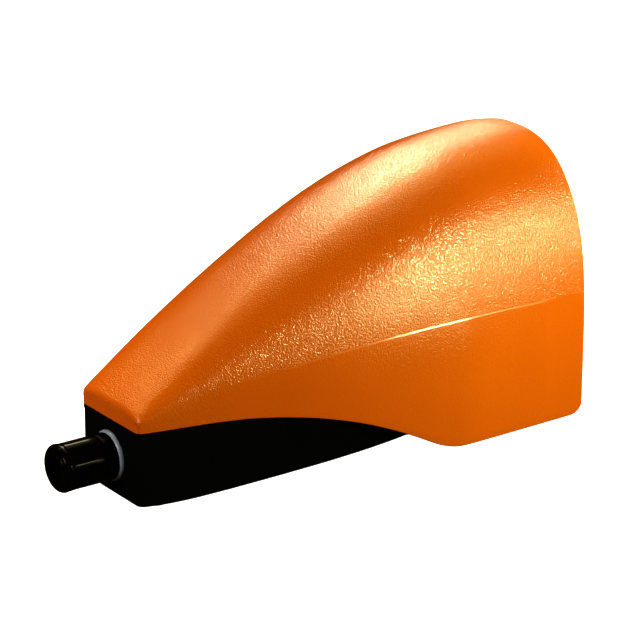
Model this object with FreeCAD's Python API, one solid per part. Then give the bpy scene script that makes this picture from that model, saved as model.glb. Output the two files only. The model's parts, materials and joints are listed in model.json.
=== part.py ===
import FreeCAD, Part
import os
import math

# Guarded foot switch. Millimetres, +Z up, X across (the switch is symmetric about X = 0).
# The shoe goes in at the front, which faces -Y; the cable gland is at the rear and points along +Y.
# The origin is on the floor, at the centre of the overall footprint.
# Most dimensions along the length are given as s, the distance forward from the rear face: Y = REAR_Y - s.

REAR_Y = 117.0           # rear face of the base and hood
HOOD_LEN = 268.0         # rear face to front rim
WALL = 3.0               # hood wall
REAR_WALL = 3.5          # hood wall at the rear
EDGE_R = 4.5             # rounding of the rear edges
BASE_Z = 1.2             # underside of the base above the floor (the feet make the difference)
SEAM_GAP = 0.3           # gap between the hood's lower edge and the base
PIVOT_S, PIVOT_Z = 52.0, 50.0    # pedal hinge
PEDAL_MAX_DEG = 8.5      # pedal stroke
PIN_R = 4.0
RUN = 0.05               # radial running clearance
PLUNGER_S = 78.0
PAD_Z = 46.0             # pedal's pressure pad at rest
DOME_R = 6.0             # plunger's domed end
PLUNGER_R = 4.0
PLUNGER_GAP = 0.05
GLAND_Z = 21.4
GLAND_OUT = 34.0         # how far the gland stands out of the rear face
CABLE_R = 5.5            # bore of the gland's rubber insert
COVER_Z0, COVER_Z1 = 36.0, 39.0
GASKET_T = 0.8
FLOOR_TOP = 4.2          # floor of the switch chamber
INSERT_X, INSERT_S1, INSERT_S2 = 22.0, 116.0, 236.0
INSERT_BORE_R = 2.1
FOOT_R = 7.0
SPRING_X, SPRING_S = 28.0, 168.0

V = FreeCAD.Vector


def Y(s):
    return REAR_Y - s


# ------------------------------------------------------------------ smooth tables
class Table:
    """Monotone cubic through the given points."""

    def __init__(self, xs, ys):
        self.x, self.y = xs, ys
        n = len(xs)
        h = [xs[i + 1] - xs[i] for i in range(n - 1)]
        d = [(ys[i + 1] - ys[i]) / h[i] for i in range(n - 1)]
        m = [0.0] * n
        for i in range(1, n - 1):
            if d[i - 1] * d[i] > 0:
                w1, w2 = 2 * h[i] + h[i - 1], h[i] + 2 * h[i - 1]
                m[i] = (w1 + w2) / (w1 / d[i - 1] + w2 / d[i])

        def end(h0, h1, d0, d1):
            v = ((2 * h0 + h1) * d0 - h0 * d1) / (h0 + h1)
            if v * d0 <= 0:
                return 0.0
            if d0 * d1 <= 0 and abs(v) > 3 * abs(d0):
                return 3 * d0
            return v
        if n > 2:
            m[0] = end(h[0], h[1], d[0], d[1])
            m[-1] = end(h[-1], h[-2], d[-1], d[-2])
        else:
            m[0] = m[-1] = d[0]
        self.m, self.h = m, h

    def __call__(self, t):
        x = self.x
        if t <= x[0]:
            return self.y[0] + self.m[0] * (t - x[0])
        if t >= x[-1]:
            return self.y[-1] + self.m[-1] * (t - x[-1])
        i = 0
        while t > x[i + 1]:
            i += 1
        h = self.h[i]
        u = (t - x[i]) / h
        return ((1 + 2 * u) * (1 - u) ** 2 * self.y[i] + u * (1 - u) ** 2 * h * self.m[i]
                + u * u * (3 - 2 * u) * self.y[i + 1] + u * u * (u - 1) * h * self.m[i + 1])


# hood: height of the ridge, half-width, height where the roof starts to curve in, section exponents
TOP = Table([0, 5, 14, 30, 50, 75, 100, 125, 150, 175, 200, 225, 245, 268],
            [52.1, 56.2, 62.7, 74.0, 87.2, 102.7, 116.1, 128.4, 139.1, 148.1, 154.4, 157.1, 158.0, 155.4])
HALF = Table([0, 15, 32, 50, 75, 100, 125, 150, 172, 190, 230, 268],
             [28.2, 31.9, 35.8, 40.0, 45.7, 51.0, 55.9, 60.0, 62.7, 64.1, 63.97, 63.85])
EQ = Table([0, 60, 140, 268], [44.6, 45.9, 45.9, 43.0])
EXP_X = Table([0, 30, 80, 140, 200, 268], [3.76, 3.35, 2.81, 2.64, 2.5, 2.44])
EXP_Z = Table([0, 30, 80, 140, 200, 268], [3.87, 3.49, 2.86, 2.82, 2.45, 2.87])
# lower edge of the hood in side view
SEAM = Table([0, 12, 24, 34, 54, 72, 86.8, 98, 109.4, 120.9, 132.6, 144.6, 156.8, 163, 169.3, 175.7, 183, 200, 268],
             [42.0, 42.0, 42.1, 42.1, 41.7, 40.0, 37.6, 35.3, 32.3, 28.8, 24.4, 19.3, 13.4, 10.1, 6.9, 4.6, 3.2, 3.0, 3.0])
# base: half-width of its underside
BOTTOM = Table([0, 15, 32, 57, 82, 109, 136, 166, 176],
               [27.6, 31.9, 33.9, 34.8, 35.0, 34.8, 33.6, 30.4, 28.6])


def section(s, inset=0.0, top_drop=0.0, z_low=-5.0, n_wall=8, n_arch=20):
    """Half section of the hood from the foot of the wall to the ridge, evenly spaced."""
    w, zt, ze = HALF(s) - inset, TOP(s) - top_drop, EQ(s)
    a, b = 2.0 / EXP_X(s), 2.0 / EXP_Z(s)
    raw = []
    for k in range(401):
        th = math.pi / 2 * (k / 400.0) ** 1.6
        raw.append((w * max(0.0, math.cos(th)) ** a, ze + (zt - ze) * math.sin(th) ** b))
    raw[-1] = (0.0, zt)
    acc = [0.0]
    for p, q in zip(raw[:-1], raw[1:]):
        acc.append(acc[-1] + math.hypot(q[0] - p[0], q[1] - p[1]))
    out = [(w, z_low + (ze - z_low) * i / n_wall) for i in range(n_wall)]
    j = 0
    for i in range(n_arch + 1):
        t = acc[-1] * i / n_arch
        while j < len(acc) - 2 and acc[j + 1] < t:
            j += 1
        f = (t - acc[j]) / max(1e-9, acc[j + 1] - acc[j])
        out.append((raw[j][0] + f * (raw[j + 1][0] - raw[j][0]), raw[j][1] + f * (raw[j + 1][1] - raw[j][1])))
    out[-1] = (0.0, zt)
    return out


def arch_wire(row):
    """Closed wire of one section: the arch from foot to foot, and the line that closes it."""
    pts = [V(x, Y(s), z) for (x, s, z) in row] + [V(-x, Y(s), z) for (x, s, z) in reversed(row[:-1])]
    c = Part.BSplineCurve()
    c.interpolate(pts)
    return Part.Wire([c.toShape(), Part.makeLine(pts[-1], pts[0])])


# ------------------------------------------------------------------ simple solids
def box(x0, x1, s0, s1, z0, z1):
    return Part.makeBox(x1 - x0, s1 - s0, z1 - z0, V(x0, Y(s1), z0))


def cz(x, s, r, z0, z1):
    return Part.makeCylinder(r, z1 - z0, V(x, Y(s), z0), V(0, 0, 1))


def cx(s, z, r, x0, x1):
    return Part.makeCylinder(r, x1 - x0, V(x0, Y(s), z), V(1, 0, 0))


def cy(x, z, r, s0, s1):
    """Cylinder along Y between two distances from the rear face (s0 < s1)."""
    return Part.makeCylinder(r, s1 - s0, V(x, Y(s1), z), V(0, 1, 0))


def plan(pts, z0, z1):
    """Vertical prism on a symmetric outline; pts are (s, half-width) from rear to front."""
    loop = [V(w, Y(s), z0) for (s, w) in pts] + [V(-w, Y(s), z0) for (s, w) in reversed(pts)]
    loop.append(loop[0])
    return Part.Face(Part.makePolygon(loop)).extrude(V(0, 0, z1 - z0))


def side(pts, x0, x1):
    """Prism across the width on a side-view outline; pts are (s, z)."""
    loop = [V(x0, Y(s), z) for (s, z) in pts]
    loop.append(loop[0])
    return Part.Face(Part.makePolygon(loop)).extrude(V(x1 - x0, 0, 0))


def seam_curve(dz, s0, s1, x, step=6.0):
    n = max(2, int(round((s1 - s0) / step)))
    pts = [V(x, Y(s0 + (s1 - s0) * i / n), SEAM(s0 + (s1 - s0) * i / n) + dz) for i in range(n + 1)]
    c = Part.BSplineCurve()
    c.interpolate(pts)
    return c.toShape(), pts[0], pts[-1]


def band(dz_low, dz_high, s0, s1, x0, x1):
    """Prism between two copies of the seam line. None for the high one means far above, for the low one far below."""
    if dz_high is None:
        e, p, q = seam_curve(dz_low, s0, s1, x0)
        up = 260.0
        edges = [e, Part.makeLine(q, V(x0, q.y, up)), Part.makeLine(V(x0, q.y, up), V(x0, p.y, up)),
                 Part.makeLine(V(x0, p.y, up), p)]
    elif dz_low is None:
        e, p, q = seam_curve(dz_high, s0, s1, x0)
        dn = -20.0
        edges = [e, Part.makeLine(q, V(x0, q.y, dn)), Part.makeLine(V(x0, q.y, dn), V(x0, p.y, dn)),
                 Part.makeLine(V(x0, p.y, dn), p)]
    else:
        e, p, q = seam_curve(dz_low, s0, s1, x0)
        e2, p2, q2 = seam_curve(dz_high, s0, s1, x0)
        edges = [e, Part.makeLine(q, q2), e2, Part.makeLine(p2, p)]
    w = Part.Wire(Part.__sortEdges__(edges))
    return Part.Face(w).extrude(V(x1 - x0, 0, 0))


def outline(half, s0, s1, nose=0.0, corner=0.0, z=0.0):
    """Symmetric outline in plan: rear line, rounded corners, a smooth curve each side, rounded nose, front line."""
    def mirror(p):
        return V(-p.x, p.y, p.z)

    def pt(s, w):
        return V(w, Y(s), z)
    right = []               # edges of the right side, rear to front, as (kind, points)
    first = s0
    if corner > 0:
        g = (half(s0 + 6.0) - half(s0)) / 6.0
        al = math.atan(g)
        nc = half(s0) + g * corner - corner * math.sqrt(1 + g * g)
        arc = []
        for f in (0.0, 0.5, 1.0):
            be = f * (math.pi / 2 - al)
            arc.append(pt(s0 + corner * (1 - math.cos(be)), nc + corner * math.sin(be)))
        right.append(("arc", arc))
        first = REAR_Y - arc[-1].y
        w_first = arc[-1].x
    else:
        w_first = half(s0)
    last = s1 - nose
    n = max(4, int((last - first) / 12.0))
    pts = [pt(first, w_first)]
    for i in range(1, n + 1):
        s = first + (last - first) * i / n
        pts.append(pt(s, half(s)))
    t0 = V((half(first + 1.0) - half(first)), -1.0, 0).normalize()
    t1 = V((half(last) - half(last - 1.0)), -1.0, 0).normalize()
    right.append(("curve", pts, t0, t1))
    w = half(last)
    if nose > 0:
        right.append(("arc", [pt(last, w), pt(last + nose * math.sin(math.pi / 4), w - nose + nose * math.cos(math.pi / 4)),
                              pt(s1, w - nose)]))

    def edge(item, flip):
        ps = [mirror(p) if flip else p for p in item[1]]
        if item[0] == "arc":
            if flip:
                ps.reverse()
            return Part.Arc(ps[0], ps[1], ps[2]).toShape()
        a, b = item[2], item[3]
        if flip:
            ps.reverse()
            a, b = V(b.x, -b.y, 0), V(a.x, -a.y, 0)
        c = Part.BSplineCurve()
        c.interpolate(Points=ps, InitialTangent=a, FinalTangent=b)
        return c.toShape()
    rear_x = right[0][1][0].x
    front = right[-1][1][-1]
    edges = [edge(i, False) for i in right]
    edges.append(Part.makeLine(front, mirror(front)))
    edges += [edge(i, True) for i in reversed(right)]
    edges.append(Part.makeLine(pt(s0, -rear_x), pt(s0, rear_x)))
    return Part.Wire(edges)


def plan_curve(half, s0, s1, z0, z1, nose=0.0, corner=0.0):
    return Part.Face(outline(half, s0, s1, nose, corner, z0)).extrude(V(0, 0, z1 - z0))


def hexagon(af, s0, s1, z, x=0.0, turn=0.0):
    r = af / math.sqrt(3)
    pts = [V(x + r * math.cos(math.radians(60 * k + turn)), Y(s1), z + r * math.sin(math.radians(60 * k + turn)))
           for k in range(6)]
    pts.append(pts[0])
    return Part.Face(Part.makePolygon(pts)).extrude(V(0, s1 - s0, 0))


def one(shape):
    """A clean single solid."""
    shape = shape.removeSplitter()
    if shape.ShapeType != "Solid" and len(shape.Solids) == 1:
        shape = shape.Solids[0]
    return shape


def screw(x, s, z_seat, length, r=2.0, head_r=3.5, head_h=2.4, up=True):
    """Pan-head screw; up means the head is above the seat and the shank runs down."""
    sg = 1.0 if up else -1.0
    head = cz(x, s, head_r, min(z_seat, z_seat + sg * head_h), max(z_seat, z_seat + sg * head_h))
    outer = [e for e in head.Edges if abs(e.BoundBox.ZMax - (z_seat + sg * head_h)) < 1e-6
             and abs(e.BoundBox.ZMin - (z_seat + sg * head_h)) < 1e-6]
    head = head.makeFillet(0.7, outer)
    z_end = z_seat - sg * length
    shank = cz(x, s, r, min(z_seat, z_end), max(z_seat, z_end))
    body = head.fuse(shank)
    zr = z_seat + sg * (head_h - 1.3)
    z0, z1 = min(zr, zr + sg * 3), max(zr, zr + sg * 3)
    body = body.cut(box(x - 2.0, x + 2.0, s - 0.45, s + 0.45, z0, z1))
    body = body.cut(box(x - 0.45, x + 0.45, s - 2.0, s + 2.0, z0, z1))
    return one(body)


def coil(x, s, r_mean, wire_r, z0, z1, turns):
    """Compression spring with its axis along Z between two planes."""
    h = z1 - z0 - 2 * wire_r
    helix = Part.makeHelix(h / turns, h, r_mean)
    prof = Part.Wire(Part.makeCircle(wire_r, V(r_mean, 0, 0), V(0, 1, 0)))
    sweep = Part.Wire(helix.Edges).makePipeShell([prof], True, True)
    sweep.translate(V(x, Y(s), z0 + wire_r))
    if sweep.ShapeType != "Solid":
        sweep = sweep.Solids[0]
    return sweep


def plunger_drop(deg):
    """Drop of the domed plunger that a flat pad on the pedal forces at this angle."""
    t = math.radians(deg)
    A, d = PLUNGER_S - PIVOT_S, PIVOT_Z - PAD_Z
    return A * math.tan(t) + (d + DOME_R) * (1 / math.cos(t) - 1)


parts = {}

# ------------------------------------------------------------------ hood
STATIONS = [14, 22, 32, 44, 56, 70, 86, 102, 118, 134, 150, 164, 178, 190, 203, 217, 231, 244, 256, 268]
outer = Part.makeLoft([arch_wire([(x, float(s), z) for (x, z) in section(float(s))]) for s in [0, 7.5] + STATIONS],
                      True, False)
rear_edge = [e for e in outer.Edges if abs(e.BoundBox.YMin - REAR_Y) < 1e-3 and e.BoundBox.ZMax > 10]
outer = outer.makeFillet(EDGE_R, rear_edge)

wires = []
for s in [REAR_WALL, 8] + STATIONS + [276]:
    t = min(float(s), HOOD_LEN)
    g = TOP(min(t, 267.0) + 0.5) - TOP(min(t, 267.0) - 0.5)
    wires.append(arch_wire([(x, float(s), z) for (x, z) in
                            section(t, inset=WALL, top_drop=WALL * math.sqrt(1 + g * g), z_low=-6.0)]))
inner = Part.makeLoft(wires, True, False)

hood = outer.cut(inner)
hood = hood.common(band(0.0, None, -2.0, 270.0, -80.0, 80.0))
# rounded lower corners of the front rim
R = 8.0
corner = box(-80, 80, HOOD_LEN - R, HOOD_LEN + 1, -4, 3.0 + R).cut(cx(HOOD_LEN - R, 3.0 + R, R, -81, 81))
hood = hood.cut(corner)
for sx in (-1, 1):
    # bosses at the front, screwed from below through the floor plate
    boss = cz(sx * 53, 225, 5.0, 6.8, 14.6)
    web = box(min(sx * 53, sx * 62), max(sx * 53, sx * 62), 223.2, 226.8, 6.8, 14.6)
    boss = boss.fuse(web)
    # lugs half way along, screwed down on the base
    lug = box(min(sx * 38, sx * 51.5), max(sx * 38, sx * 51.5), 106, 118, 38.2, 42.0)
    gus = side([(110.8, 42.0), (113.2, 42.0), (113.2, 56.0), (110.8, 56.0)], min(sx * 46.5, sx * 51.5), max(sx * 46.5, sx * 51.5))
    hood = hood.fuse([boss, lug, gus])
    hood = hood.cut(cz(sx * 53, 225, 1.75, 6.0, 13.6))
    hood = hood.cut(cz(sx * 43, 112, 2.2, 37.0, 43.0))
parts["hood"] = one(hood)

# ------------------------------------------------------------------ base housing
TUB_TOP = 50.0


def tub_half(s, z):
    """Half-width of the tub's flared wall at this height."""
    return BOTTOM(s) + (HALF(s) - 0.8 - BOTTOM(s)) * (z - BASE_Z) / (42.0 - BASE_Z)


tub = Part.makeLoft([outline(BOTTOM, 0.0, 190.0, nose=14.0, corner=EDGE_R, z=BASE_Z),
                     outline(lambda s: tub_half(s, TUB_TOP), 0.0, 190.0, nose=14.0, corner=EDGE_R, z=TUB_TOP)],
                    True, True)


def lip_half(s):
    """The lip follows the hood at the rear and runs out into the tub's wall further forward."""
    t = max(0.0, min(1.0, (s - 45.0) / 35.0))
    return HALF(s) * (1 - t) + (tub_half(s, SEAM(s)) - 0.8) * t


lip = plan_curve(lip_half, 0.0, 80.0, 30.0, 49.0, corner=EDGE_R).common(band(-2.3, 0.6, -2.0, 90.0, -80.0, 80.0))
slab = plan_curve(lambda s: HALF(s) - 3.2, 47.0, 262.4, -1.0, 60.0, nose=10.0)
slab = slab.common(band(1.0, 4.0, 40.0, 266.0, -80.0, 80.0))
# the deck stands inside the hood, everything outside it stops under the hood's edge
inside = plan_curve(lambda s: HALF(s) - 3.5, 44.0, 262.0, -10.0, 60.0, nose=10.0)
envelope = band(None, -SEAM_GAP, -2.0, 270.0, -80.0, 80.0).fuse(
    inside.common(band(None, 3.5, -2.0, 272.0, -81.0, 81.0)))
base = tub.fuse([slab, lip]).common(envelope)
# stiffening ribs and bosses under the front floor plate
for x in (-40.0, 0.0, 40.0):
    base = base.fuse(box(x - 1.25, x + 1.25, 186, 254, 1.6, 4.6))
base = base.fuse(box(-40, 40, 210.0, 212.5, 1.6, 4.6))
for sx in (-1, 1):
    base = base.fuse([cz(sx * 53, 225, 7.0, 1.8, 6.5),
                      cz(sx * 46, 247, 8.6, 1.6, 6.5),
                      cz(sx * INSERT_X, INSERT_S2, 6.5, BASE_Z, 12.0),
                      cz(sx * 24, 215, 7.5, 4.5, 19.0),
                      cz(sx * 43, 112, 5.5, 32.4, 38.0),
                      cz(sx * SPRING_X, SPRING_S, 9.2, 5.0, 13.0),
                      cz(sx * SPRING_X, SPRING_S, 4.6, 12.0, 16.5)])
# the coils stand clear of the deck, on their bosses and round their posts
for sx in (-1, 1):
    base = base.cut(cz(sx * SPRING_X, SPRING_S, 7.8, 13.0, 30.0).cut(cz(sx * SPRING_X, SPRING_S, 4.6, 12.0, 16.5)))
# pocket under the sloping deck, with its cross rib and centre rib
pocket = plan([(108, 31.4), (136, 30.2), (164, 27.0)], -1.0, 60.0).common(
    band(None, -2.2, 100.0, 200.0, -80.0, 80.0))
pocket = pocket.cut([box(-1.25, 1.25, 100, 200, -5, 60), box(-40, 40, 134.0, 136.5, -5, 60)])
for sx in (-1, 1):
    pocket = pocket.cut(cz(sx * INSERT_X, INSERT_S1, 6.0, -5, 60))
base = base.cut(pocket)
# switch chamber, with a seat for its cover
chamber = plan([(7, 20), (16, 25.5), (32, 28.5), (100, 30)], FLOOR_TOP, 60.0)
for sx in (-1, 1):
    chamber = chamber.cut([cz(sx * 19, 15, 4.5, 0, 60), cz(sx * 26.5, 98, 4.5, 0, 60)])
chamber = chamber.cut([cz(0, 64, 3.6, 0, 5.2), cz(0, 92, 3.6, 0, 5.2)])
base = base.cut(chamber)
SEAT = [(4.2, 22.0), (16, 27.5), (32, 31.0), (104, 33.5)]
base = base.cut(plan(SEAT, COVER_Z0 - GASKET_T, 60.0))
# gland hole and the room for its locknut
base = base.cut([cy(0, GLAND_Z, 10.2, -1, 8), cy(0, GLAND_Z, 15.4, 4.0, 8.0)])
# screw holes
for sx in (-1, 1):
    base = base.cut([cz(sx * 19, 15, 2.05, 24.0, 36.0), cz(sx * 26.5, 98, 2.05, 24.0, 36.0),
                     cz(sx * 53, 225, 2.3, 1.0, 7.0), cz(sx * 53, 225, 4.1, 1.0, 4.0),
                     cz(sx * 43, 112, 2.05, 29.0, 39.0),
                     cz(sx * INSERT_X, INSERT_S1, 3.5, 0.0, BASE_Z + 8.0), cz(sx * INSERT_X, INSERT_S1, 2.6, 8.0, 14.0),
                     cz(sx * INSERT_X, INSERT_S2, 3.5, 0.0, BASE_Z + 8.0),
                     cz(sx * 22.5, 13, FOOT_R + 0.1, 0.0, 2.4), cz(sx * 46, 247, FOOT_R + 0.1, 0.0, 2.6),
                     cz(sx * 24, 215, 2.5, 13.0, 20.0)])
base = base.cut([cz(0, 64, 1.55, 2.0, 6.0), cz(0, 92, 1.55, 2.0, 6.0)])
parts["base_housing"] = one(base)

# ------------------------------------------------------------------ switch cover, gasket, screws
IN = 0.3
cover = plan([(4.2 + IN, 22.0 - IN), (16, 27.5 - IN), (32, 31.0 - IN), (104 - IN, 33.5 - IN)], COVER_Z0, COVER_Z1)
gasket = plan([(4.2 + IN, 22.0 - IN), (16, 27.5 - IN), (32, 31.0 - IN), (104 - IN, 33.5 - IN)],
              COVER_Z0 - GASKET_T, COVER_Z0)
gasket = gasket.cut(plan([(8, 19.4), (16.5, 24.8), (32, 27.8), (99.4, 29.4)], 30.0, 40.0))
ring = []
for sx in (-1, 1):
    for (x, s) in ((19, 15), (26.5, 98)):
        gasket = gasket.fuse(cz(sx * x, s, 4.2, COVER_Z0 - GASKET_T, COVER_Z0))
gasket = gasket.common(plan([(4.2 + IN, 22.0 - IN), (16, 27.5 - IN), (32, 31.0 - IN), (104 - IN, 33.5 - IN)], 30, 40))
BR = [(-16, 43.5), (16, 43.5), (-16, 62), (16, 62)]
for (x, s) in BR:
    cover = cover.fuse(cz(x, s, 4.5, 31.0, 36.5))
for sx in (-1, 1):
    for (x, s) in ((19, 15), (26.5, 98)):
        cover = cover.cut(cz(sx * x, s, 2.3, 30, 42))
        gasket = gasket.cut(cz(sx * x, s, 2.3, 30, 42))
for (x, s) in BR:
    cover = cover.cut(cz(x, s, 2.05, 32.0, 42.0))
cover = cover.cut(cz(0, PLUNGER_S, 6.5, 30, 42))
parts["switch_cover"] = one(cover)
parts["cover_gasket"] = one(gasket)
parts["cover_screws"] = Part.makeCompound([screw(sx * x, s, COVER_Z1, 14.0) for sx in (-1, 1)
                                           for (x, s) in ((19, 15), (26.5, 98))])
parts["plunger_guide"] = one(cz(0, PLUNGER_S, 6.5, 32.0, COVER_Z1).cut(cz(0, PLUNGER_S, PLUNGER_R + RUN, 31, 40)))
parts["plunger_seal"] = one(cz(0, PLUNGER_S, 7.0, COVER_Z1, 40.0).cut(cz(0, PLUNGER_S, PLUNGER_R + RUN + 0.01, 38, 41)))

# ------------------------------------------------------------------ pivot bracket and pin
br = box(-28.5, 28.5, 39.5, 68.0, COVER_Z1, 41.5)
for sx in (-1, 1):
    x0, x1 = (26.0, 28.5) if sx > 0 else (-28.5, -26.0)
    ear = side([(41, 41), (63, 41), (60, 50), (44, 50)], x0, x1).fuse(cx(PIVOT_S, PIVOT_Z, 8.0, x0, x1))
    br = br.fuse(ear)
br = br.cut(cx(PIVOT_S, PIVOT_Z, PIN_R + RUN, -40, 40))
for (x, s) in BR:
    br = br.cut(cz(x, s, 2.2, 38, 42))
parts["pivot_bracket"] = one(br)
parts["bracket_screws"] = Part.makeCompound([screw(x, s, 41.5, 9.0) for (x, s) in BR])

pin = cx(PIVOT_S, PIVOT_Z, PIN_R, -31.5, 31.5)
pin = pin.makeChamfer(0.6, [e for e in pin.Edges if e.Curve.TypeId == "Part::GeomCircle"])
clips = []
for sx in (-1, 1):
    a, b = (29.0, 30.0) if sx > 0 else (-30.0, -29.0)
    pin = pin.cut(cx(PIVOT_S, PIVOT_Z, 6, a, b).cut(cx(PIVOT_S, PIVOT_Z, 3.2, a - 1, b + 1)))
    c = cx(PIVOT_S, PIVOT_Z, 6.6, a + 0.05, b - 0.05).cut(cx(PIVOT_S, PIVOT_Z, 3.25, a - 1, b + 1))
    c = c.cut(box(a - 1, b + 1, PIVOT_S - 2.2, PIVOT_S + 2.2, PIVOT_Z - 9, PIVOT_Z))
    clips.append(one(c))
parts["pivot_pin"] = one(pin)
parts["pin_clips"] = Part.makeCompound(clips)

# ------------------------------------------------------------------ pedal
def ptop(s):
    return 56.6 - (s - 60.0) / 176.0 * 6.0


PED = Table([0, 118, 128, 150, 166, 176, 243], [34.0, 34.0, 35.5, 45.0, 49.2, 50.0, 50.0])
ped_plan = plan_curve(PED, 45.0, 243.0, 20.0, 80.0, nose=14.0)
ped_in = plan_curve(lambda s: PED(s) - 2.6, 42.0, 240.4, 20.0, 80.0, nose=12.0)
plate = side([(45, ptop(45)), (236, ptop(236)), (240, ptop(240) - 0.7), (242.4, ptop(242) - 2.4), (243, ptop(243) - 5),
              (243, 42.0), (240.4, 42.0), (240.4, 46.0), (236, ptop(236) - 3), (45, ptop(45) - 3)], -60, 60).common(ped_plan)
flange = side([(120, ptop(120) - 2), (243, ptop(243) - 2), (243, ptop(243) - 9), (120, ptop(120) - 9)], -60, 60)
flange = flange.common(ped_plan).cut(ped_in)
pedal = plate.fuse(flange)
pedal = pedal.fuse([cx(PIVOT_S, PIVOT_Z, 7.5, -24, 24), box(-24, 24, 46.0, 58.0, 50.0, 54.5),
                    box(-9, 9, 25.0, 50.0, 44.1, 50.1),
                    side([(71, PAD_Z), (86, PAD_Z), (86, ptop(86) - 1.5), (71, ptop(71) - 1.5)], -8, 8)])
for x in (-12.0, 12.0):
    pedal = pedal.fuse(side([(56, ptop(56) - 7), (239, ptop(239) - 7), (239, ptop(239) - 1.5), (56, ptop(56) - 1.5)],
                            x - 1.3, x + 1.3))
for s in (132.0, 190.0):
    pedal = pedal.fuse(side([(s - 1.2, ptop(s) - 7), (s + 1.2, ptop(s) - 7), (s + 1.2, ptop(s) - 1.5), (s - 1.2, ptop(s) - 1.5)],
                            -60, 60).common(ped_plan))
for sx in (-1, 1):
    pedal = pedal.fuse(cz(sx * SPRING_X, SPRING_S, 9.6, ptop(SPRING_S) - 6.5, ptop(SPRING_S) - 1.5))
    pedal = pedal.cut(cz(sx * SPRING_X, SPRING_S, 7.9, ptop(SPRING_S) - 8, ptop(SPRING_S) - 3.2))
# anti-slip ribs across the tread
tread = plan_curve(lambda s: PED(s) - 5.0, 120.0, 240.0, 20.0, 80.0, nose=10.0)
ribs = []
for k in range(11):
    s = 146.0 + 8.4 * k
    ribs.append(side([(s - 1.8, ptop(s) - 0.4), (s - 1.1, ptop(s) + 1.3), (s + 1.1, ptop(s) + 1.25), (s + 1.8, ptop(s) - 0.5)],
                     -60, 60).common(tread))
pedal = pedal.fuse(ribs)
pedal = pedal.cut([cx(PIVOT_S, PIVOT_Z, 6.0, 13.9, 24.5), cx(PIVOT_S, PIVOT_Z, 6.0, -24.5, -13.9),
                   cx(PIVOT_S, PIVOT_Z, PIN_R + 0.6, -30, 30)])
# the plate is narrowed between the bracket's ears
pedal = pedal.cut([box(23.8, 40.0, 40.0, 62.0, 40.0, 60.0), box(-40.0, -23.8, 40.0, 62.0, 40.0, 60.0)])
parts["pedal"] = one(pedal)
bushes = []
for sx in (-1, 1):
    a, b = (14.0, 24.0) if sx > 0 else (-24.0, -14.0)
    fa, fb = (24.0, 25.2) if sx > 0 else (-25.2, -24.0)
    bushes.append(one(cx(PIVOT_S, PIVOT_Z, 6.0, a, b).fuse(cx(PIVOT_S, PIVOT_Z, 7.4, fa, fb))
                      .cut(cx(PIVOT_S, PIVOT_Z, PIN_R + RUN, -40, 40))))
parts["pivot_bushes"] = Part.makeCompound(bushes)

# ------------------------------------------------------------------ springs and buffers
z_top = ptop(SPRING_S) - 3.6
parts["return_springs"] = Part.makeCompound([coil(sx * SPRING_X, SPRING_S, 6.2, 0.85, 13.05, z_top, 7.0)
                                             for sx in (-1, 1)])
buf = cz(0, 31, 6.0, COVER_Z1, 44.05)
parts["rest_buffer"] = one(buf.makeFillet(0.8, [e for e in buf.Edges if e.BoundBox.ZMin > 44.0]))
stops = []
for sx in (-1, 1):
    b = cz(sx * 24, 215, 6.0, 19.0, 22.5).fuse(cz(sx * 24, 215, 2.4, 14.0, 19.5))
    stops.append(one(b))
parts["stop_buffers"] = Part.makeCompound(stops)

# ------------------------------------------------------------------ plunger and contact block
zc = PAD_Z - PLUNGER_GAP - DOME_R
rod = cz(0, PLUNGER_S, PLUNGER_R, 34.2, 46.5)
dome = Part.makeSphere(DOME_R, V(0, Y(PLUNGER_S), zc)).fuse(cz(0, PLUNGER_S, DOME_R, 25, zc))
parts["plunger"] = one(rod.common(dome))

cb = box(-17, 17, 68, 88, 5.2, 27.0).cut(box(-14, 14, 71, 85, 8.2, 28.0))
cb = cb.fuse([box(-5, 5, 60, 69, 5.2, 8.2), box(-5, 5, 87, 96, 5.2, 8.2)])
fixed, clamps, tscrews = [], [], []
for sx in (-1, 1):
    xa, xb = (17.0, 26.0) if sx > 0 else (-26.0, -17.0)
    cb = cb.fuse([box(xa, xb, 71.0, 77.4, 16.0, 22.05), box(xa, xb, 78.6, 85.0, 8.9, 14.9)])
for sx in (-1, 1):
    xi, xo = 8.0 * sx, 25.5 * sx
    a, b = min(xi, xo), max(xi, xo)
    nc = box(a, b, 72.5, 76.0, 22.05, 22.85)
    no = box(a, b, 80.0, 83.5, 14.9, 15.7)
    cb = cb.cut([nc, no])
    tx = 22.0 * sx
    cb = cb.cut([cz(tx, 74.25, 1.55, 17.5, 23.0), cz(tx, 81.75, 1.55, 10.4, 16.0)])
    nc = nc.fuse(cz(9.5 * sx, 74.25, 1.5, 21.65, 22.1)).cut(cz(tx, 74.25, 1.6, 20, 24))
    no = no.fuse(cz(9.5 * sx, 81.75, 1.5, 15.65, 16.1)).cut(cz(tx, 81.75, 1.6, 14, 17))
    fixed += [one(nc), one(no)]
    for (s, z) in ((74.25, 22.85), (81.75, 15.7)):
        clamps.append(one(box(tx - 2.7, tx + 2.7, s - 2.7, s + 2.7, z, z + 1.0).cut(cz(tx, s, 1.6, z - 1, z + 2))))
        tscrews.append(screw(tx, s, z + 1.0, 6.0, r=1.5, head_r=2.5, head_h=1.9))
cb = cb.cut([cz(0, 64, 1.7, 5, 9), cz(0, 92, 1.7, 5, 9), cz(0, PLUNGER_S, 3.4, 8.0, 9.0)])
parts["contact_block"] = one(cb)
parts["fixed_contacts"] = Part.makeCompound(fixed)
parts["terminal_clamps"] = Part.makeCompound(clamps)
parts["terminal_screws"] = Part.makeCompound(tscrews)
parts["contact_block_lid"] = one(box(-17, 17, 68, 88, 27.0, 30.0).cut(cz(0, PLUNGER_S, 3.06, 26, 31)))
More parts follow.
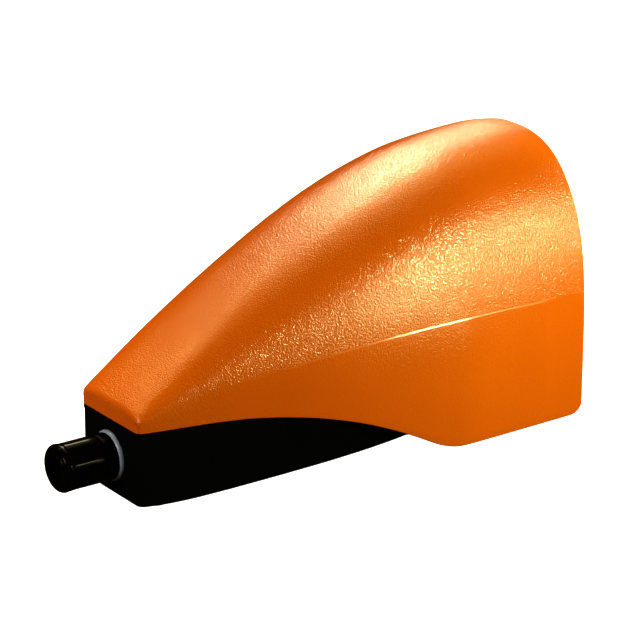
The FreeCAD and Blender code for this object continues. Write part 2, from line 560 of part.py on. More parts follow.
parts["contact_block_screws"] = Part.makeCompound([screw(0, s, 8.2, 5.6, r=1.5, head_r=2.6, head_h=1.9) for s in (64, 92)])
carrier = cz(0, PLUNGER_S, 3.0, 22.0, 34.2).fuse(box(-6, 6, 71.8, 84.2, 19.0, 23.0))
bridges = []
for (s0, s1, zt) in ((72.5, 76.0, 1), (80.0, 83.5, -1)):
    strip = box(-11, 11, s0, s1, 20.6, 21.2)
    carrier = carrier.cut(strip)
    for sx in (-1, 1):
        z0, z1 = (21.1, 21.6) if zt > 0 else (20.2, 20.7)
        strip = strip.fuse(cz(9.5 * sx, (s0 + s1) / 2, 1.5, z0, z1))
    bridges.append(one(strip))
parts["contact_carrier"] = one(carrier)
parts["moving_contacts"] = Part.makeCompound(bridges)
parts["contact_spring"] = coil(0, PLUNGER_S, 2.6, 0.35, 8.1, 18.95, 6.0)

# ------------------------------------------------------------------ cable gland
WASHER_T = 2.4
washer = cy(0, GLAND_Z, 13.8, -WASHER_T, 0.0).cut(cy(0, GLAND_Z, 10.1, -3, 1))
parts["gland_washer"] = one(washer)
gb = hexagon(24.0, -8.4, -WASHER_T, GLAND_Z, turn=30).common(cy(0, GLAND_Z, 13.3, -8.4, -WASHER_T))
gb = gb.fuse([cy(0, GLAND_Z, 9.9, -WASHER_T - 0.1, 10.5), cy(0, GLAND_Z, 10.4, -19.0, -8.3)])
gb = gb.cut([cy(0, GLAND_Z, 6.6, -22, 12), cy(0, GLAND_Z, 8.9, -22, -11.0)])
parts["gland_body"] = one(gb)
# domed clamping nut: lightly faceted grip, a shallow groove, then the rounded end
grip = cy(0, GLAND_Z, 13.3, -25.2, -9.0).common(hexagon(25.8, -25.2, -9.0, GLAND_Z, turn=0))
neck = cy(0, GLAND_Z, 12.3, -26.2, -25.0)
p0, p1, p2, p3 = (V(0, Y(-26.0), GLAND_Z), V(13.0, Y(-26.0), GLAND_Z), V(9.4, Y(-GLAND_OUT), GLAND_Z), V(0, Y(-GLAND_OUT), GLAND_Z))
arc = Part.Arc(p1, V(12.0, Y(-31.2), GLAND_Z), p2).toShape()
domef = Part.Face(Part.Wire([Part.makeLine(p0, p1), arc, Part.makeLine(p2, p3), Part.makeLine(p3, p0)]))
nut = grip.fuse([neck, domef.revolve(V(0, 0, GLAND_Z), V(0, 1, 0), 360)])
nut = nut.cut([cy(0, GLAND_Z, 6.6, -40, 0), cy(0, GLAND_Z, 10.6, -22.5, -8.0)])
parts["gland_nut"] = one(nut)
seal = cy(0, GLAND_Z, 8.8, -22.0, -11.3).cut(cy(0, GLAND_Z, CABLE_R, -40, 0))
parts["gland_seal"] = one(seal)
lock = hexagon(26.0, 4.0, 9.0, GLAND_Z, turn=0).common(cy(0, GLAND_Z, 14.6, 4.0, 9.0)).cut(cy(0, GLAND_Z, 9.95, 3, 10))
parts["gland_locknut"] = one(lock)

# ------------------------------------------------------------------ hood screws, feet, inserts
hs = []
for sx in (-1, 1):
    hs.append(screw(sx * 53, 225, 4.0, 9.2, r=1.7, head_r=3.6, head_h=2.0, up=False))
    hs.append(screw(sx * 43, 112, 42.0, 12.5, r=2.0))
parts["hood_screws"] = Part.makeCompound(hs)
feet = []
for sx in (-1, 1):
    for (x, s, zt) in ((22.5, 13, 2.4), (46, 247, 2.6)):
        f = cz(sx * x, s, FOOT_R, 0.0, zt)
        f = f.makeFillet(0.5, [e for e in f.Edges if e.BoundBox.ZMax < 0.01])
        feet.append(one(f))
parts["rubber_feet"] = Part.makeCompound(feet)
parts["mounting_inserts"] = Part.makeCompound([
    one(cz(sx * INSERT_X, s, 3.5, BASE_Z, BASE_Z + 8.0).cut(cz(sx * INSERT_X, s, INSERT_BORE_R, 0, 12)))
    for sx in (-1, 1) for s in (INSERT_S1, INSERT_S2)])

# ------------------------------------------------------------------ write
os.makedirs("parts", exist_ok=True)
for name, shape in parts.items():
    sol = shape.Solids
    bb = shape.BoundBox
    print("%-22s solids %2d valid %s vol %10.1f  x %.1f..%.1f y %.1f..%.1f z %.1f..%.1f" % (
        name, len(sol), shape.isValid(), shape.Volume, bb.XMin, bb.XMax, bb.YMin, bb.YMax, bb.ZMin, bb.ZMax))
    shape.exportStep(os.path.join("parts", name + ".step"))
print("plunger ratio m/rad", plunger_drop(PEDAL_MAX_DEG) / 1000.0 / math.radians(PEDAL_MAX_DEG), "drop", plunger_drop(PEDAL_MAX_DEG))
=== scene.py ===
import json
import math

import bpy
import bmesh
from mathutils import Matrix, Vector


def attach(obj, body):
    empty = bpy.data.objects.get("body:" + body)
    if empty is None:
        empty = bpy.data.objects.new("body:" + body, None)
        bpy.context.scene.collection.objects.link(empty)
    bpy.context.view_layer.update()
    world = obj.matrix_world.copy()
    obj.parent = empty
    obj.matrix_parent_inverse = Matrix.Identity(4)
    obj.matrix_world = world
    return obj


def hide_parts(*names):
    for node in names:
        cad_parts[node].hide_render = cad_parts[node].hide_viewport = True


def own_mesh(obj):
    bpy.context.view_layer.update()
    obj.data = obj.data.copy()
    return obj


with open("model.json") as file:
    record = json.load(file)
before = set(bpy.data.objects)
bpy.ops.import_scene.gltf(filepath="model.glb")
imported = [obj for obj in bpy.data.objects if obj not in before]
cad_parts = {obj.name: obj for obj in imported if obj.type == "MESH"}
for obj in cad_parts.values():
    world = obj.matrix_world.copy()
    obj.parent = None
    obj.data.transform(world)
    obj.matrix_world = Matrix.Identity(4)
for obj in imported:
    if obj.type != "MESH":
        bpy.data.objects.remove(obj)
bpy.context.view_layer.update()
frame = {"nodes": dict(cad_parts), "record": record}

MM = 0.001
REAR_Y = 117.0           # rear face of the hood and base, mm
nodes = frame["nodes"]


# ------------------------------------------------------------------ smooth tables (mm)
class Table:
    """Monotone cubic through the given points."""

    def __init__(self, xs, ys):
        self.x, self.y = xs, ys
        n = len(xs)
        h = [xs[i + 1] - xs[i] for i in range(n - 1)]
        d = [(ys[i + 1] - ys[i]) / h[i] for i in range(n - 1)]
        m = [0.0] * n
        for i in range(1, n - 1):
            if d[i - 1] * d[i] > 0:
                w1, w2 = 2 * h[i] + h[i - 1], h[i] + 2 * h[i - 1]
                m[i] = (w1 + w2) / (w1 / d[i - 1] + w2 / d[i])

        def end(h0, h1, d0, d1):
            v = ((2 * h0 + h1) * d0 - h0 * d1) / (h0 + h1)
            if v * d0 <= 0:
                return 0.0
            if d0 * d1 <= 0 and abs(v) > 3 * abs(d0):
                return 3 * d0
            return v
        m[0] = end(h[0], h[1], d[0], d[1])
        m[-1] = end(h[-1], h[-2], d[-1], d[-2])
        self.m, self.h = m, h

    def __call__(self, t):
        x = self.x
        if t <= x[0]:
            return self.y[0] + self.m[0] * (t - x[0])
        if t >= x[-1]:
            return self.y[-1] + self.m[-1] * (t - x[-1])
        i = 0
        while t > x[i + 1]:
            i += 1
        h = self.h[i]
        u = (t - x[i]) / h
        return ((1 + 2 * u) * (1 - u) ** 2 * self.y[i] + u * (1 - u) ** 2 * h * self.m[i]
                + u * u * (3 - 2 * u) * self.y[i + 1] + u * u * (u - 1) * h * self.m[i + 1])


TOP = Table([0, 5, 14, 30, 50, 75, 100, 125, 150, 175, 200, 225, 245, 268],
            [52.1, 56.2, 62.7, 74.0, 87.2, 102.7, 116.1, 128.4, 139.1, 148.1, 154.4, 157.1, 158.0, 155.4])
HALF = Table([0, 15, 32, 50, 75, 100, 125, 150, 172, 190, 230, 268],
             [28.2, 31.9, 35.8, 40.0, 45.7, 51.0, 55.9, 60.0, 62.7, 64.1, 63.97, 63.85])
EQ = Table([0, 60, 140, 268], [44.6, 45.9, 45.9, 43.0])
EXP_X = Table([0, 30, 80, 140, 200, 268], [3.76, 3.35, 2.81, 2.64, 2.5, 2.44])
EXP_Z = Table([0, 30, 80, 140, 200, 268], [3.87, 3.49, 2.86, 2.82, 2.45, 2.87])
SEAM = Table([0, 12, 24, 34, 54, 72, 86.8, 98, 109.4, 120.9, 132.6, 144.6, 156.8, 163, 169.3, 175.7, 183, 200, 268],
             [42.0, 42.0, 42.1, 42.1, 41.7, 40.0, 37.6, 35.3, 32.3, 28.8, 24.4, 19.3, 13.4, 10.1, 6.9, 4.6, 3.2, 3.0, 3.0])
# the chamfered edge that runs along each side, below it the wall stands a little proud
LEDGE = Table([0, 20, 40.7, 50.6, 64.6, 79.3, 92.2, 118.3, 148.3, 168.6, 189.8, 212.6, 246.2, 268],
              [46.6, 53.0, 59.4, 61.6, 63.9, 65.8, 67.6, 71.2, 74.2, 75.4, 75.8, 75.5, 74.3, 73.2])
LEAN = Table([0, 60, 110, 160, 268], [8.0, 9.0, 12.0, 15.0, 15.5])
LEDGE_W = 0.9            # width of the chamfer
WALL, REAR_WALL, EDGE_R, RIM_R, FOOT_R, LIP_R = 3.0, 3.5, 4.5, 1.0, 8.0, 0.7
HOOD_LEN = 268.0


def smooth(a, b, t):
    u = max(0.0, min(1.0, (t - a) / (b - a)))
    return u * u * (3 - 2 * u)


def ledge_tilt(s):
    """Extra lean of the chamfered edge over the wall it runs along, as a slope."""
    return math.tan(math.radians(LEAN(s))) * smooth(34, 80, s) * (1 - smooth(240, 248, s))


def lower_edge(s):
    z = SEAM(s)
    t = s - (HOOD_LEN - FOOT_R)
    if t > 0:
        z = max(z, 3.0 + FOOT_R - math.sqrt(max(0.0, FOOT_R ** 2 - min(t, FOOT_R) ** 2)))
    return z


N_LOW, N_UP = 16, 46
LEDGE_STEPS = [-2.6, -1.3, -0.75, -0.55, -0.45, -0.36, -0.12, 0.12, 0.36, 0.45, 0.55, 0.75, 1.4, 2.8]


def half_section(s, inset=0.0, raise_foot=0.0, ledge=True, sign=-1.0):
    """Points from the foot of the wall to the ridge, with the ledge, at distance s from the rear face.
    Returns (x, z, below) where below is 1 under the ledge and 0 above it."""
    s_ = min(max(s, 0.0), HOOD_LEN)
    g = (TOP(min(s_, 267.5) + 0.5) - TOP(min(s_, 267.5) - 0.5)) if s_ > 0.5 else 0.82
    w, zt, ze = HALF(s_) - inset, TOP(s_) - inset * math.sqrt(1 + g * g), EQ(s_)
    a, b = 2.0 / EXP_X(s_), 2.0 / EXP_Z(s_)
    z0 = lower_edge(s_) + raise_foot
    raw = [(w, z0)]
    for k in range(1, 21):
        raw.append((w, z0 + (ze - z0) * k / 20.0))
    for k in range(1, 481):
        th = math.pi / 2 * (k / 480.0) ** 1.6
        raw.append((w * max(0.0, math.cos(th)) ** a, ze + (zt - ze) * math.sin(th) ** b))
    raw[-1] = (0.0, zt)
    acc = [0.0]
    for p, q in zip(raw[:-1], raw[1:]):
        acc.append(acc[-1] + math.hypot(q[0] - p[0], q[1] - p[1]))
    total = acc[-1]
    zc = min(LEDGE(s_), zt - 6.0)
    lc = total
    for i, p in enumerate(raw):
        if p[1] >= zc:
            q = raw[i - 1]
            f = (zc - q[1]) / max(1e-9, p[1] - q[1])
            lc = acc[i - 1] + f * (acc[i] - acc[i - 1])
            break
    lc = min(max(lc, 3.2), total - 3.2)
    lens = [0.0, 0.06, 0.2, 0.42, LIP_R]
    lens += [LIP_R + (lc + LEDGE_STEPS[0] - LIP_R) * i / N_LOW for i in range(1, N_LOW)]
    lens += [lc + d for d in LEDGE_STEPS]
    top0 = lc + LEDGE_STEPS[-1]
    lens += [top0 + (total - top0) * i / N_UP for i in range(1, N_UP + 1)]
    amp = ledge_tilt(s_) * LEDGE_W if ledge else 0.0
    out = []
    j = 0
    for L in lens:
        L = min(L, total)
        while j < len(acc) - 2 and acc[j + 1] < L:
            j += 1
        f = (L - acc[j]) / max(1e-9, acc[j + 1] - acc[j])
        f = max(0.0, min(1.0, f))
        x = raw[j][0] + f * (raw[j + 1][0] - raw[j][0])
        z = raw[j][1] + f * (raw[j + 1][1] - raw[j][1])
        dx, dz = raw[j + 1][0] - raw[j][0], raw[j + 1][1] - raw[j][1]
        n = math.hypot(dx, dz) or 1.0
        below = 1.0 - max(0.0, min(1.0, (L - lc) / LEDGE_W + 0.5))
        kind = 0.0
        if ledge:
            kind = (0.5 if L < lc else 0.0) if abs(L - lc) > 0.5 else 1.0
            kind *= smooth(22, 60, s_)
        # the proud part thins out towards the lower edge, so that the seam line stays where it is
        k = amp * below * smooth(0.0, 20.0, L)
        if L < LIP_R:
            k += sign * (LIP_R - math.sqrt(max(0.0, LIP_R ** 2 - (LIP_R - L) ** 2)))
        out.append((x + dz / n * k, z - dx / n * k, kind))
    out[-1] = (0.0, zt, 0.0)
    return out


def rounding_rows(fractions):
    """Rows round the rear edge: a constant-radius rounding between the rear face and the walls."""
    p0, p1 = half_section(0.0, ledge=False), half_section(6.0, ledge=False)
    rows = []
    for f in fractions:
        row = []
        for i, (a, b) in enumerate(zip(p0, p1)):
            q0, q1 = p0[max(0, i - 1)], p0[min(len(p0) - 1, i + 1)]
            dx, dz = q1[0] - q0[0], q1[1] - q0[1]
            L = math.hypot(dx, dz) or 1.0
            n = (dz / L, -dx / L) if 5 < i < len(p0) - 1 else ((1.0, 0.0) if i <= 5 else (0.0, 1.0))
            g = ((b[0] - a[0]) * n[0] + (b[1] - a[1]) * n[1]) / 6.0
            al = math.atan(g)
            nc = g * EDGE_R - EDGE_R * math.sqrt(1 + g * g)
            be = f * (math.pi / 2 - al)
            off = nc + EDGE_R * math.sin(be)
            row.append((a[0] + n[0] * off, EDGE_R * (1 - math.cos(be)), a[1] + n[1] * off, a[2]))
        row[-1] = (0.0,) + row[-1][1:]
        rows.append(row)
    return rows


def full_row(row):
    """Mirror a half row (x, s, z, below) into left foot ... ridge ... right foot."""
    left = [(-x, s, z, b) for (x, s, z, b) in row]
    right = [(x, s, z, b) for (x, s, z, b) in reversed(row[:-1])]
    return left + right


def build_hood():
    stations = [5.2, 7.0, 9.0, 11.5, 14.0]
    s = 17.0
    while s < 240.0:
        stations.append(s)
        s += 3.0
    stations += [240.0, 242.5, 245.0, 247.5, 250.0, 253.0, 256.0, 258.5, 260.5, 262.5, 264.2, 265.6, 266.6, HOOD_LEN - RIM_R]

    def station_row(s, inset=0.0, ledge=True, s_place=None):
        pts = half_section(s, inset=inset, ledge=ledge, sign=-1.0 if ledge else 1.0)
        row = [(x, s if s_place is None else s_place, z, b) for (x, z, b) in pts]
        return row

    outer = rounding_rows([0.0, 0.14, 0.28, 0.43, 0.57, 0.71, 0.86, 1.0])
    for s in stations:
        outer.append(station_row(s))
    # rounded rim: outer face round to the inner face
    for k in (0.35, 0.7, 1.0):
        t = k * math.pi / 2
        outer.append(station_row(HOOD_LEN - RIM_R + RIM_R * math.sin(t), inset=RIM_R * (1 - math.cos(t))))
    inner = []
    for k in (1.0, 0.7, 0.35):
        t = k * math.pi / 2
        inner.append(station_row(HOOD_LEN - RIM_R + RIM_R * math.sin(t), inset=WALL - RIM_R * (1 - math.cos(t)), ledge=False))
    for s in reversed(stations):
        place = s if s > 14.0 else REAR_WALL + (s - 5.2) * (14.0 - REAR_WALL - 2.2) / 8.8 + 2.2 * (s - 5.2) / 8.8 + 0.0
        row = station_row(max(place, s) if s > 14.0 else max(place, REAR_WALL), inset=WALL, ledge=False,
                          s_place=max(place, REAR_WALL))
        inner.append(row)
    # the inner back wall repeats the rear rounding's rows at one station, closing in on the outline
    bm = bmesh.new()
    layer = bm.verts.layers.float.new("below")

    def add(row):
        out = []
        for (x, s, z, b) in full_row(row):
            v = bm.verts.new((x * MM, (REAR_Y - s) * MM, z * MM))
            v[layer] = b
            out.append(v)
        return out

    O = [add(r) for r in outer]
    I = [add(r) for r in inner]
    chain = O + I
    for a, b in zip(chain[:-1], chain[1:]):
        for j in range(len(a) - 1):
            bm.faces.new((a[j], a[j + 1], b[j + 1], b[j]))
    # rear cap outside, and the inside of the rear wall
    for ring, flip in ((O[0], True), (I[-1], False)):
        n = len(ring)
        for j in range(n // 2):
            p, q = ring[j], ring[j + 1]
            r, t = ring[n - 2 - j], ring[n - 1 - j]
            quad = [p, q, r, t]
            if j + 1 == n // 2:
                quad = [p, q, t]
            if flip:
                quad.reverse()
            bm.faces.new(quad)
    # lower edge, from the foot of the outer wall to the foot of the inner wall
    n_st = len(stations)
    for end in (0, -1):
        o = [r[end] for r in O]
        i = [r[end] for r in I]
        first = len(O) - 3 - n_st
        for k in range(n_st - 1):
            bm.faces.new((o[first + k], o[first + k + 1], i[len(i) - 2 - k], i[len(i) - 1 - k]))
        last = first + n_st - 1
        bm.faces.new([o[last], o[last + 1], o[last + 2], o[last + 3], i[0], i[1], i[2], i[3]])
        for k in range(first):
            bm.faces.new((o[k], o[k + 1], i[-1]))
    bm.faces.new((O[0][0], I[-1][0], I[-1][-1], O[0][-1]))
    bmesh.ops.recalc_face_normals(bm, faces=bm.faces)
    me = bpy.data.meshes.new("guard_hood")
    bm.to_mesh(me)
    bm.free()
    ob = bpy.data.objects.new("guard_hood", me)
    bpy.context.scene.collection.objects.link(ob)
    return ob


# ------------------------------------------------------------------ node helpers
def new_mat(name):
    m = bpy.data.materials.new(name)
    m.use_nodes = True
    nt = m.node_tree
    bsdf = nt.nodes["Principled BSDF"]
    return m, nt, bsdf


def N(nt, kind, **kw):
    n = nt.nodes.new(kind)
    for k, v in kw.items():
        if k in n.inputs:
            n.inputs[k].default_value = v
        else:
            setattr(n, k, v)
    return n


def ramp(nt, stops):
    r = nt.nodes.new("ShaderNodeValToRGB")
    el = r.color_ramp.elements
    while len(el) > 1:
        el.remove(el[-1])
    el[0].position, el[0].color = stops[0][0], stops[0][1]
    for p, c in stops[1:]:
        e = el.new(p)
        e.color = c
    return r


def grey(v):
    return (v, v, v, 1.0)


def coords(nt):
    tc = nt.nodes.new("ShaderNodeTexCoord")
    return tc.outputs["Object"]


def math_node(nt, op, a, b):
    n = nt.nodes.new("ShaderNodeMath")
    n.operation = op
    for i, v in enumerate((a, b)):
        if hasattr(v, "is_linked") or hasattr(v, "links"):
            nt.links.new(v, n.inputs[i])
        else:
            n.inputs[i].default_value = v
    return n.outputs[0]


def mat_hood():
    m, nt, b = new_mat("hood_orange")
    L = nt.links.new
    co = coords(nt)
    # colour: faint cloudy variation of the pigment
    n1 = N(nt, "ShaderNodeTexNoise", Scale=9.0, Detail=3.0)
    L(co, n1.inputs["Vector"])
    r1 = ramp(nt, [(0.3, (0.66, 0.158, 0.0006, 1)), (0.7, (0.72, 0.182, 0.0009, 1))])
    L(n1.outputs["Fac"], r1.inputs["Fac"])
    # leather grain: rounded cells with fine creases between them
    warp = N(nt, "ShaderNodeTexNoise", Scale=420.0, Detail=2.0)
    L(co, warp.inputs["Vector"])
    mixv = nt.nodes.new("ShaderNodeVectorMath")
    mixv.operation = "SCALE"
    mixv.inputs["Scale"].default_value = 0.0011
    L(warp.outputs["Color"], mixv.inputs[0])
    addv = nt.nodes.new("ShaderNodeVectorMath")
    addv.operation = "ADD"
    L(co, addv.inputs[0])
    L(mixv.outputs[0], addv.inputs[1])
    vor = N(nt, "ShaderNodeTexVoronoi", Scale=1180.0)
    vor.feature = "SMOOTH_F1"
    vor.inputs["Smoothness"].default_value = 0.55
    L(addv.outputs[0], vor.inputs["Vector"])
    fine = N(nt, "ShaderNodeTexNoise", Scale=1500.0, Detail=1.0, Roughness=0.5)
    L(co, fine.inputs["Vector"])
    h1 = math_node(nt, "MULTIPLY", vor.outputs["Distance"], -0.75)
    h2 = math_node(nt, "MULTIPLY", fine.outputs["Fac"], 0.55)
    h = math_node(nt, "ADD", h1, h2)
    below = nt.nodes.new("ShaderNodeAttribute")
    below.attribute_name = "below"
    k = ramp(nt, [(0.0, grey(0.72)), (0.5, grey(0.34)), (0.8, grey(0.12)), (1.0, grey(0.06))])
    L(below.outputs["Fac"], k.inputs["Fac"])
    bump = nt.nodes.new("ShaderNodeBump")
    bump.inputs["Distance"].default_value = 0.00036
    L(k.outputs["Color"], bump.inputs["Strength"])
    L(h, bump.inputs["Height"])
    L(bump.outputs["Normal"], b.inputs["Normal"])
    # the creases are a touch duller than the cell tops
    rr = ramp(nt, [(0.0, grey(0.14)), (0.6, grey(0.19)), (1.0, grey(0.28))])
    L(vor.outputs["Distance"], rr.inputs["Fac"])
    L(rr.outputs["Color"], b.inputs["Roughness"])
    L(r1.outputs["Color"], b.inputs["Base Color"])
    b.inputs["IOR"].default_value = 1.5
    b.inputs["Specular Tint"].default_value = (1.0, 0.92, 0.75, 1)
    b.inputs["Specular IOR Level"].default_value = 1.0
    return m


def mat_moulded(name, dark, light, rough, grain_scale=1400.0, bump_strength=0.25, level=0.5, dist=0.0001):
    """Moulded plastic with a fine spark-eroded texture and slight variation."""
    m, nt, b = new_mat(name)
    L = nt.links.new
    co = coords(nt)
    n1 = N(nt, "ShaderNodeTexNoise", Scale=22.0, Detail=4.0)
    L(co, n1.inputs["Vector"])
    r1 = ramp(nt, [(0.3, dark + (1,)), (0.72, light + (1,))])
    L(n1.outputs["Fac"], r1.inputs["Fac"])
    L(r1.outputs["Color"], b.inputs["Base Color"])
    n2 = N(nt, "ShaderNodeTexNoise", Scale=grain_scale, Detail=2.0)
    L(co, n2.inputs["Vector"])
    bump = nt.nodes.new("ShaderNodeBump")
    bump.inputs["Distance"].default_value = dist
    bump.inputs["Strength"].default_value = bump_strength
    L(n2.outputs["Fac"], bump.inputs["Height"])
    L(bump.outputs["Normal"], b.inputs["Normal"])
    r2 = ramp(nt, [(0.3, grey(max(0.02, rough - 0.05))), (0.7, grey(min(1.0, rough + 0.06)))])
    L(n1.outputs["Fac"], r2.inputs["Fac"])
    L(r2.outputs["Color"], b.inputs["Roughness"])
    b.inputs["Specular IOR Level"].default_value = level
    return m


def mat_metal(name, c0, c1, rough, stretch=(1, 1, 14), scale=160.0):
    m, nt, b = new_mat(name)
    L = nt.links.new
    co = coords(nt)
    mp = nt.nodes.new("ShaderNodeMapping")
    mp.inputs["Scale"].default_value = stretch
    L(co, mp.inputs["Vector"])
    n1 = N(nt, "ShaderNodeTexNoise", Scale=scale, Detail=4.0)
    L(mp.outputs["Vector"], n1.inputs["Vector"])
    r1 = ramp(nt, [(0.3, c0 + (1,)), (0.7, c1 + (1,))])
    L(n1.outputs["Fac"], r1.inputs["Fac"])
    L(r1.outputs["Color"], b.inputs["Base Color"])
    r2 = ramp(nt, [(0.3, grey(rough - 0.06)), (0.7, grey(rough + 0.08))])
    L(n1.outputs["Fac"], r2.inputs["Fac"])
    L(r2.outputs["Color"], b.inputs["Roughness"])
    b.inputs["Metallic"].default_value = 1.0
    bump = nt.nodes.new("ShaderNodeBump")
    bump.inputs["Distance"].default_value = 0.00005
    bump.inputs["Strength"].default_value = 0.15
    L(n1.outputs["Fac"], bump.inputs["Height"])
    L(bump.outputs["Normal"], b.inputs["Normal"])
    return m


MAT = {
    "hood": mat_hood(),
    "base": mat_moulded("base_black", (0.0036, 0.0041, 0.0052), (0.0052, 0.0060, 0.0074), 0.55, level=0.07),
    "pedal": mat_moulded("pedal_black", (0.011, 0.011, 0.012), (0.018, 0.018, 0.019), 0.48, bump_strength=0.4, level=0.4),
    "gland": mat_moulded("gland_black", (0.0022, 0.0022, 0.0024), (0.0036, 0.0036, 0.0039), 0.22, grain_scale=500.0, bump_strength=0.06, level=0.07),
    "washer": mat_moulded("washer_grey", (0.30, 0.38, 0.54), (0.36, 0.45, 0.62), 0.34, bump_strength=0.1),
    "rubber": mat_moulded("rubber_black", (0.010, 0.010, 0.010), (0.017, 0.017, 0.017), 0.72, bump_strength=0.35, level=0.3),
    "steel": mat_metal("zinc_steel", (0.52, 0.52, 0.53), (0.66, 0.66, 0.66), 0.32),
    "spring_steel": mat_metal("spring_wire", (0.34, 0.34, 0.35), (0.46, 0.46, 0.46), 0.3),
    "brass": mat_metal("brass_turned", (0.62, 0.42, 0.16), (0.76, 0.54, 0.24), 0.28),
    "bush_plastic": mat_moulded("acetal_white", (0.66, 0.65, 0.60), (0.74, 0.73, 0.69), 0.4),
    "insulator": mat_moulded("insulator_grey", (0.055, 0.06, 0.07), (0.08, 0.085, 0.1), 0.45),
}


def dress(ob, material):
    ob.data.materials.clear()
    ob.data.materials.append(material)


slots = {sp["node"]: sp["material_slot"] for sp in frame["record"]["subparts"]}
for name, ob in nodes.items():
    dress(ob, MAT[slots[name]])

# ------------------------------------------------------------------ hood
hood = build_hood()
dress(hood, MAT["hood"])
for p in hood.data.polygons:
    p.use_smooth = any(abs(hood.data.vertices[i].co.y - REAR_Y * MM) > 1e-7 for i in p.vertices)
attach(hood, "frame")
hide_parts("hood")

# ------------------------------------------------------------------ turned and wound pieces
def mesh_object(name, verts, faces, material, body, replaces=None, smooth_angle=32.0):
    me = bpy.data.meshes.new(name)
    me.from_pydata(verts, [], faces)
    bm = bmesh.new()
    bm.from_mesh(me)
    bmesh.ops.remove_doubles(bm, verts=bm.verts, dist=1e-7)
    bmesh.ops.recalc_face_normals(bm, faces=bm.faces)
    lim = math.radians(smooth_angle)
    for f in bm.faces:
        f.smooth = True
    for e in bm.edges:
        if len(e.link_faces) == 2 and e.calc_face_angle(0.0) > lim:
            e.smooth = False
    bm.to_mesh(me)
    bm.free()
    ob = bpy.data.objects.new(name, me)
    bpy.context.scene.collection.objects.link(ob)
    dress(ob, material)
    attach(ob, body)
    if replaces:
        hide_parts(replaces)
    return ob


def facet(theta, r, af, first):
    """Radius of a hexagonal bar with rounded corners of radius r, corners at first + 60 k degrees."""
    d = (math.degrees(theta) - first - 30.0) % 60.0
    d = math.radians(min(d, 60.0 - d))
    flat = af / 2.0 / math.cos(d)
    k = 26.0
    return -math.log(math.exp(-k * r / 13.0) + math.exp(-k * flat / 13.0)) * 13.0 / k


def ring_y(profile, z0, seg=144):
    """Closed ring turned about the gland's axis. profile: (s, r, af or 0, first corner)."""
    verts, faces = [], []
    n = len(profile)
    for i in range(seg):
        th = 2 * math.pi * i / seg
        for (s, r, af, first) in profile:
            q = facet(th, r, af, first) if af else r
            verts.append((q * math.cos(th) * MM, (REAR_Y - s) * MM, (z0 + q * math.sin(th)) * MM))
    for i in range(seg):
        j = (i + 1) % seg
        for k in range(n):
            m2 = (k + 1) % n
            faces.append((i * n + k, i * n + m2, j * n + m2, j * n + k))
    return verts, faces


def quarter(c0, c1, r0, r1, steps=6):
    """Points of a quarter ellipse from (c0, r0) to (c1, r1), leaving c0 level."""
    out = []
    for i in range(steps + 1):
        a = math.pi / 2 * i / steps
        out.append((c0 + (c1 - c0) * math.sin(a), r1 + (r0 - r1) * math.cos(a)))
    return out


GLAND_Z = 21.4
# washer with a rounded outer edge
prof = [(0.0, 10.1, 0, 0), (0.0, 13.5, 0, 0), (-0.15, 13.8, 0, 0)]
prof += [(s, r, 0, 0) for (s, r) in quarter(-0.5, -2.4, 13.8, 11.9, 8)]
prof += [(-2.4, 10.1, 0, 0)]
v, f = ring_y(prof, GLAND_Z)
mesh_object("sealing_washer", v, f, MAT["washer"], "frame", "gland_washer", 40.0)

# gland body: round collar, hexagon, threaded sleeve
prof = [(-2.4, 12.55, 0, 0), (-2.6, 12.75, 0, 0), (-3.5, 12.75, 0, 0), (-3.7, 12.5, 0, 0),
        (-3.8, 12.6, 23.4, 9), (-4.1, 13.2, 24.0, 9), (-7.7, 13.2, 24.0, 9), (-8.2, 12.7, 23.6, 9), (-8.4, 12.1, 22.9, 9),
        (-8.4, 10.4, 0, 0)]
s = -8.8
while s > -18.6:
    prof += [(s, 10.4, 0, 0), (s - 0.38, 9.9, 0, 0), (s - 0.76, 10.4, 0, 0)]
    s -= 1.5
prof += [(-19.0, 10.1, 0, 0), (-19.0, 8.9, 0, 0), (-11.0, 8.9, 0, 0), (-11.0, 6.6, 0, 0), (10.5, 6.6, 0, 0), (10.5, 9.6, 0, 0),
         (10.2, 9.9, 0, 0), (-2.4, 9.9, 0, 0)]
v, f = ring_y(prof, GLAND_Z)
mesh_object("gland_collar", v, f, MAT["gland"], "frame", "gland_body", 28.0)

# clamping nut: faceted grip, groove, rounded end
prof = [(-9.0, 10.6, 0, 0), (-9.0, 11.9, 24.0, 39), (-9.15, 12.5, 24.8, 39), (-9.6, 13.1, 25.3, 39), (-10.2, 13.3, 25.4, 39),
        (-18.0, 13.3, 25.4, 39), (-26.5, 13.3, 25.4, 39), (-28.2, 13.3, 25.7, 39), (-28.9, 13.2, 26.2, 39), (-29.15, 13.0, 26.4, 39),
        (-29.3, 12.6, 0, 0), (-29.8, 12.55, 0, 0), (-29.95, 12.8, 0, 0), (-30.15, 13.0, 0, 0)]
prof += [(s, r, 0, 0) for (s, r) in quarter(-30.5, -33.7, 13.05, 10.1, 9)]
prof += [(-33.93, 9.8, 0, 0), (-34.0, 9.4, 0, 0), (-34.0, 7.3, 0, 0), (-33.85, 6.9, 0, 0), (-33.4, 6.6, 0, 0), (-22.5, 6.6, 0, 0),
         (-22.5, 10.6, 0, 0)]
v, f = ring_y(prof, GLAND_Z)
mesh_object("clamping_nut", v, f, MAT["gland"], "frame", "gland_nut", 24.0)


